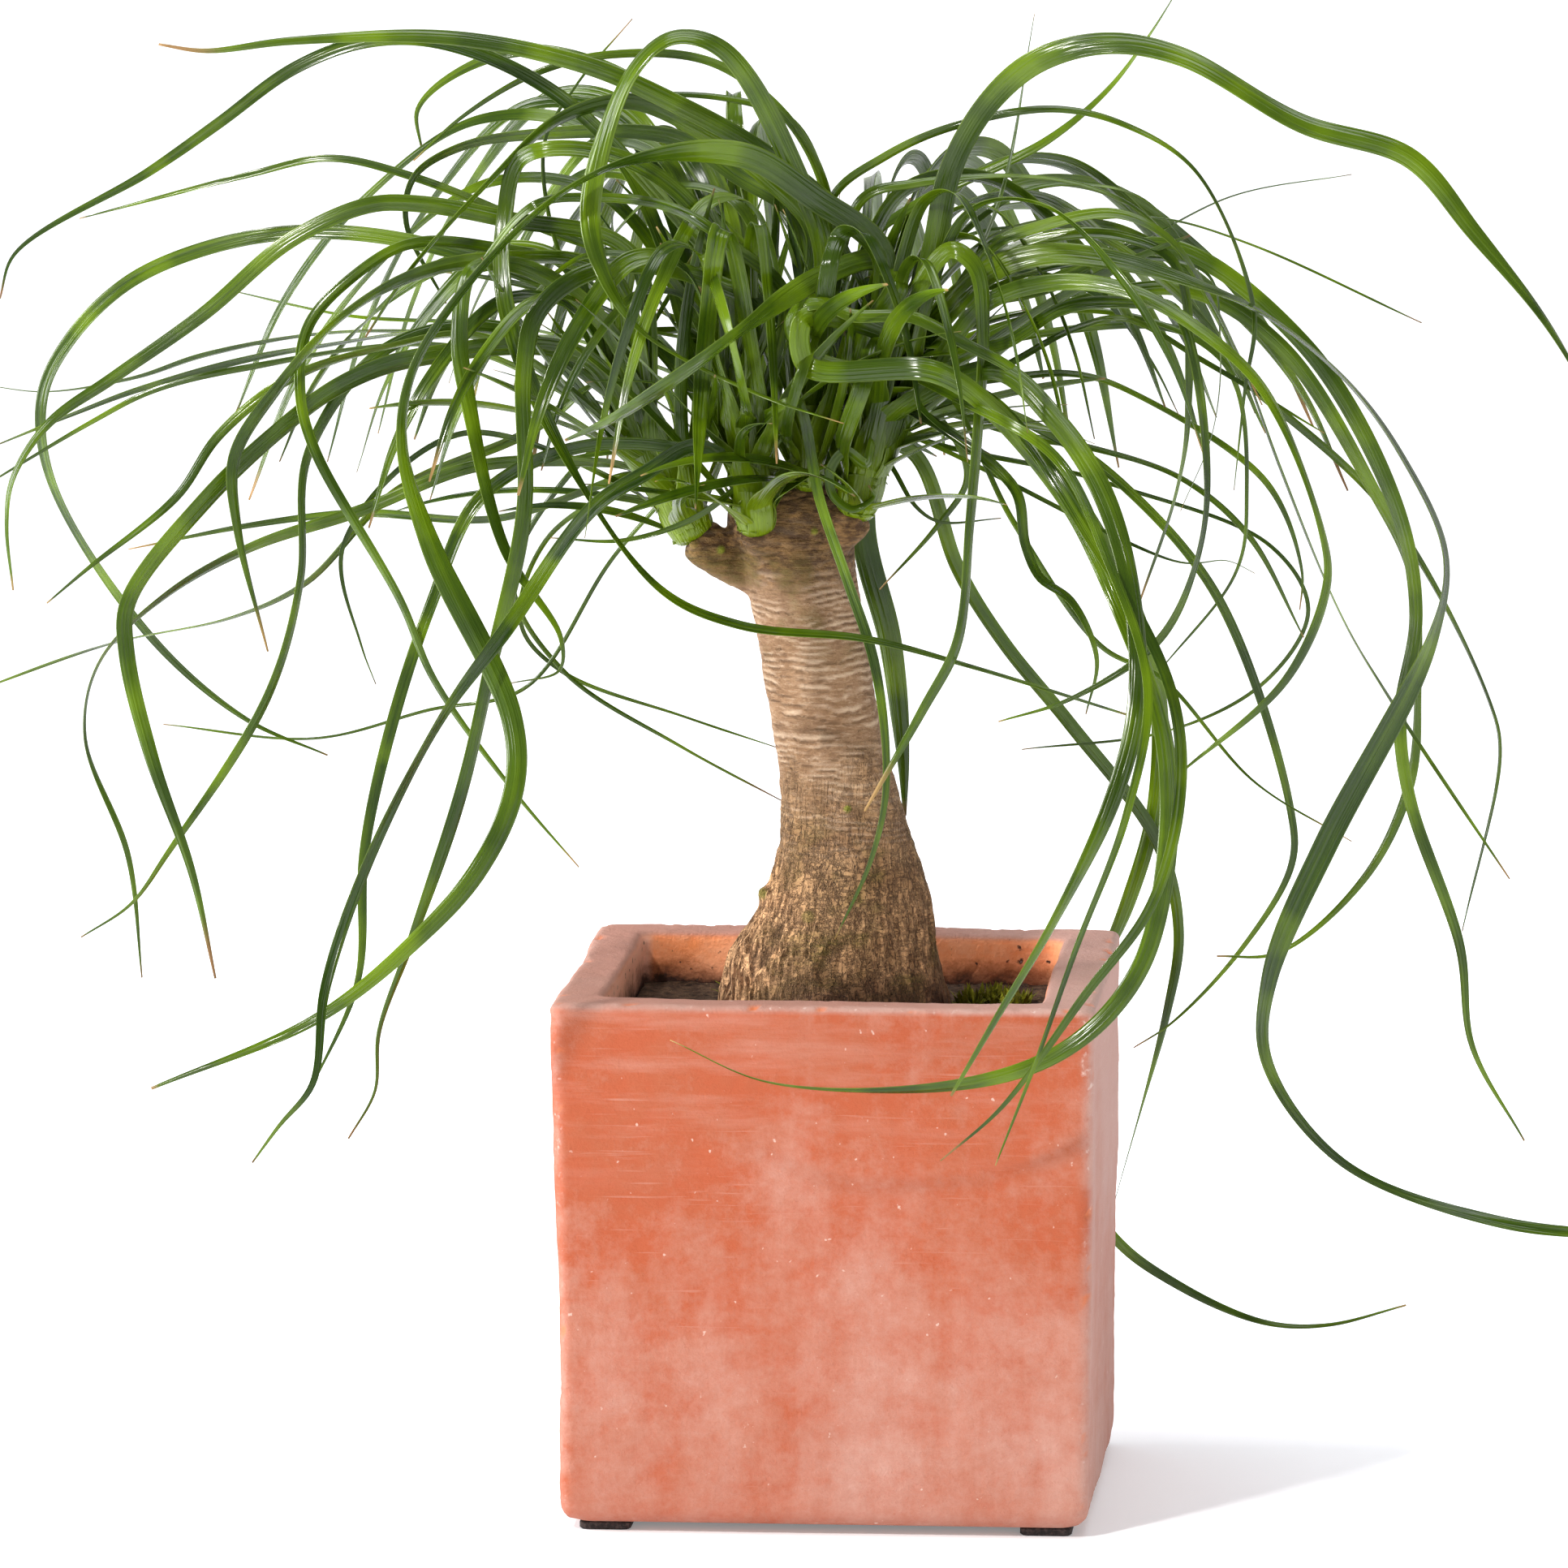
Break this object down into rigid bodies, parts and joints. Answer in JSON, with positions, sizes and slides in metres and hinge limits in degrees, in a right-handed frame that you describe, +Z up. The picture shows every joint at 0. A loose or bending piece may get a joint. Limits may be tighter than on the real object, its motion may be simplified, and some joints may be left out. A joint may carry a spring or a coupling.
{
  "type": "potted ponytail palm",
  "caption": "Ponytail palm with a swollen corky trunk and long arching strap leaves, standing in soil in a thick-walled square terracotta pot on low pads.",
  "frame": {"origin": "on the floor under the middle of the pot, which is also the middle of the whole plant's box", "axes": "+Z up, +X to the right and +Y away from the front view, square to the pot's faces"},
  "size_m": [0.8428, 0.5706, 0.7213],
  "materials": {
    "terracotta": "matt fired clay with pale bloom and scratches",
    "pad": "matt dark grey",
    "soil": "dark moist crumbs",
    "bark": "matt fissured bark, ringed above",
    "foliage": "satin green strap leaves"
  },
  "bodies": {
    "root": {"pot": "terracotta", "pad_front_left": "pad", "pad_front_right": "pad", "pad_back_left": "pad", "pad_back_right": "pad", "soil": "soil", "trunk": "bark", "head_left": "foliage", "head_front": "foliage", "head_centre": "foliage", "head_right": "foliage", "head_back_left": "foliage", "head_back_right": "foliage"}
  },
  "joints": []
}
